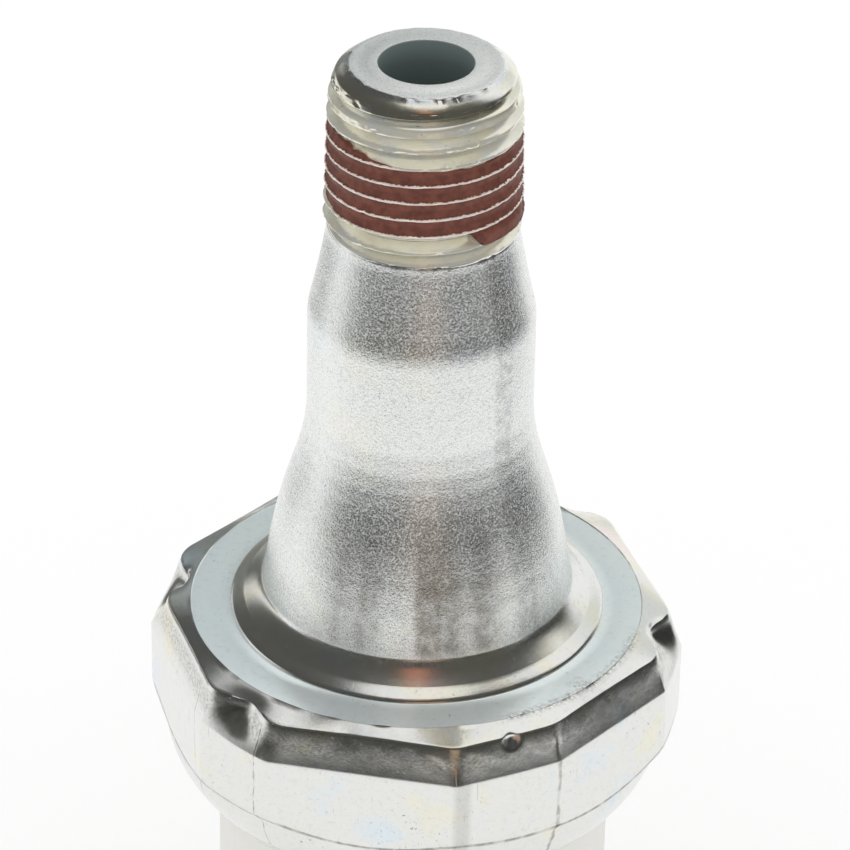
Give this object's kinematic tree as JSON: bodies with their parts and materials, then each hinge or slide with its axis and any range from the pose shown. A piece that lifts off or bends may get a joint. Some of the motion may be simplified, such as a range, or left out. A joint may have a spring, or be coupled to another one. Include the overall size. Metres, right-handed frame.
{
  "type": "oil pressure sender",
  "caption": "Engine oil pressure sender: plated steel housing with tapered pipe thread and crimped hexagon, diaphragm mechanism inside, plastic connector socket below.",
  "frame": {"origin": "centre of the socket's rim, the lowest face, on the sender's axis", "axes": "+Z along the axis towards the thread's end; -Y square to one flat of the hexagon; the socket is longest along X"},
  "size_m": [0.0286, 0.0268, 0.062],
  "materials": {
    "zinc_plated_steel": "bright zinc plating with a faint iridescent passivation, grained on the neck",
    "snubber_brass": "turned brass",
    "gasket_rubber": "matt black nitrile",
    "diaphragm_steel": "bright rolled spring steel",
    "ring_steel": "stamped steel",
    "pusher_plastic": "natural moulded nylon",
    "bracket_steel": "stamped steel",
    "pin_steel": "ground steel",
    "lever_steel": "plated stamped steel",
    "screw_steel": "blackened steel",
    "leaf_bronze": "phosphor bronze strip",
    "rivet_brass": "peened brass",
    "contact_silver": "polished silver alloy",
    "spring_steel": "drawn spring wire",
    "card_laminate": "brown laminate card",
    "resistance_wire": "close-wound resistance wire",
    "strip_bronze": "phosphor bronze strip",
    "tinned_blade": "tinned contact blade",
    "potting": "cast epoxy",
    "seal_rubber": "matt black rubber",
    "natural_nylon": "off-white moulded nylon"
  },
  "bodies": {
    "case": {"housing": "zinc_plated_steel", "snubber": "snubber_brass", "diaphragm_gasket": "gasket_rubber", "diaphragm": "diaphragm_steel", "clamp_ring": "ring_steel", "mechanism_bracket": "bracket_steel", "pivot_pin": "pin_steel", "return_spring": "spring_steel", "resistor_card": "card_laminate", "resistance_winding": "resistance_wire", "signal_strip": "strip_bronze", "ground_spring": "strip_bronze", "signal_blade": "tinned_blade", "ground_blade": "tinned_blade", "blade_seal_signal": "potting", "blade_seal_ground": "potting", "weather_seal": "seal_rubber", "connector_body": "natural_nylon"},
    "pusher": {"pusher": "pusher_plastic"},
    "lever": {"wiper_lever": "lever_steel", "calibration_screw": "screw_steel", "wiper_leaf": "leaf_bronze", "leaf_rivet_front": "rivet_brass", "leaf_rivet_back": "rivet_brass", "wiper_contact": "contact_silver"}
  },
  "joints": [
    {"name": "pusher_slide", "type": "slide", "parent": "case", "child": "pusher", "axis": [0, 0, -1], "range_m": [0, 0.001], "stiffness_N_per_m": 300, "deforming": ["diaphragm"]},
    {"name": "lever_hinge", "type": "hinge", "parent": "case", "child": "lever", "pos_m": [-0.003, 0, 0.0196], "axis": [0, 1, 0], "range_deg": [0, 19.2], "deforming": ["return_spring"]}
  ],
  "couplings": [
    {"joint": "lever_hinge", "follows": "pusher_slide", "rad_per_m": 334.9}
  ]
}
